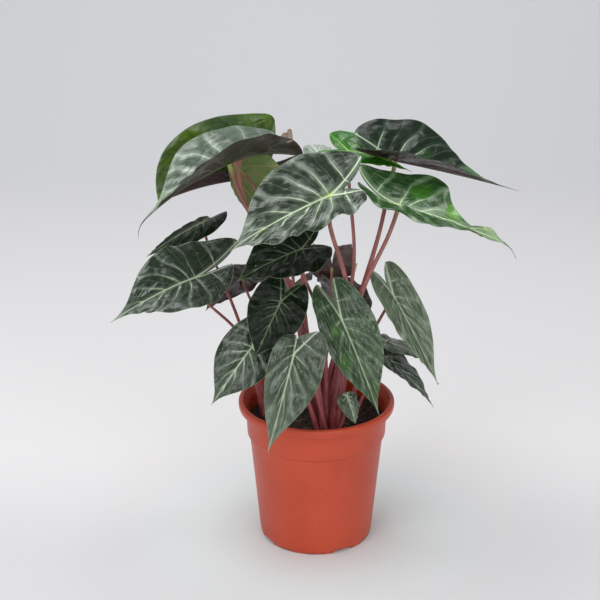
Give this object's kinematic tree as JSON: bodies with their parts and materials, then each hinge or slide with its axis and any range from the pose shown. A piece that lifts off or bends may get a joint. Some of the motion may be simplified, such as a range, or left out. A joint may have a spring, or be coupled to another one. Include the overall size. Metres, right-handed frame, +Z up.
{
  "type": "potted alocasia plant",
  "caption": "Leafy house plant with arrow-shaped blades on slender pink stalks, standing in peat in a round nursery pot with a rolled lip and a notched foot.",
  "frame": {"origin": "on the surface that the pot stands on, in the middle of the whole plant's outline seen from above, which lies on the pot's axis to within about a millimetre", "axes": "+Z up along the pot's axis; -Y is the front that the picture shows; +X is the plant's right as seen from the front"},
  "size_m": [0.4562, 0.2685, 0.5222],
  "materials": {
    "pot": "satin",
    "peat": "matte",
    "stalk": "satin",
    "leaf": "satin",
    "young_leaf": "satin"
  },
  "bodies": {
    "root": {"blade_back_high": "leaf", "blade_back_left_low": "leaf", "blade_back_low_left": "leaf", "blade_back_low_right": "leaf", "blade_back_top": "leaf", "blade_back_upright": "leaf", "blade_centre_dark": "leaf", "blade_centre_hanging": "leaf", "blade_centre_right": "leaf", "blade_crown_front": "leaf", "blade_crown_left": "leaf", "blade_crown_left_back": "leaf", "blade_crown_right": "leaf", "blade_crown_right_back": "leaf", "blade_lower_centre": "leaf", "blade_lower_left": "leaf", "blade_middle_left": "leaf", "blade_middle_left_back": "leaf", "blade_right": "leaf", "blade_right_behind": "leaf", "blade_right_narrow": "leaf", "blade_small_soil": "leaf", "blade_young_back": "young_leaf", "blade_young_hanging": "young_leaf", "pot": "pot", "soil": "peat", "stalks_back": "stalk", "stalks_centre": "stalk", "stalks_left": "stalk", "stalks_right": "stalk"}
  },
  "joints": []
}
